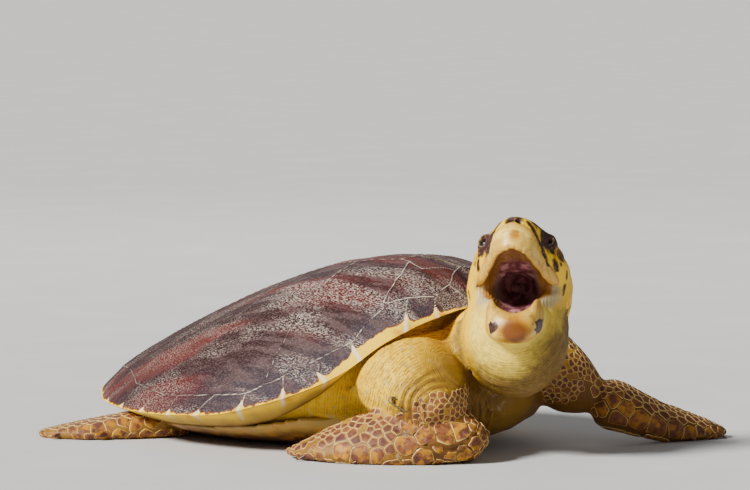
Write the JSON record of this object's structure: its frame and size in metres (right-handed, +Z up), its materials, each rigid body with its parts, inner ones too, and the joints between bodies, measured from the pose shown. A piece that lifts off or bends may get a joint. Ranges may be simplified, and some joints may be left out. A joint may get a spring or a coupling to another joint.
{
  "type": "loggerhead turtle",
  "caption": "Life-size still model of an adult loggerhead sea turtle resting on its belly with its head raised and its mouth open.",
  "frame": {"origin": "on the floor, at the middle of the flat under the belly on which the body rests", "axes": "+Z up; the body faces -Y, so +Y points to its tail and +X to its left"},
  "size_m": [0.78, 1.1777, 0.4333],
  "materials": {
    "carapace_horn": "weathered horn plates, satin",
    "plastron_horn": "smooth horn plates, satin",
    "skin": "soft wrinkled skin, matt",
    "head_skin": "scaled skin, satin",
    "flipper_scales": "scaled skin, satin",
    "beak_horn": "horn, satin to glossy",
    "mouth_flesh": "moist lining, glossy",
    "eye": "wet, glossy",
    "claw_horn": "horn, satin",
    "tag_metal": "dull metal strip, sea-worn"
  },
  "bodies": {
    "root": {"carapace": "carapace_horn", "plastron": "plastron_horn", "trunk": "skin", "neck": "skin", "head": "head_skin", "lower_jaw": "head_skin", "beak_upper": "beak_horn", "beak_lower": "beak_horn", "tongue": "mouth_flesh", "eye_right": "eye", "eye_left": "eye", "arm_right": "skin", "arm_left": "skin", "flipper_front_right": "flipper_scales", "flipper_front_left": "flipper_scales", "flipper_hind_right": "flipper_scales", "flipper_hind_left": "flipper_scales", "tail": "skin", "claw_front_right_1": "claw_horn", "claw_front_right_2": "claw_horn", "claw_front_left_1": "claw_horn", "claw_front_left_2": "claw_horn", "claw_hind_right_1": "claw_horn", "claw_hind_right_2": "claw_horn", "claw_hind_left_1": "claw_horn", "claw_hind_left_2": "claw_horn", "flipper_tag": "tag_metal"}
  },
  "joints": []
}
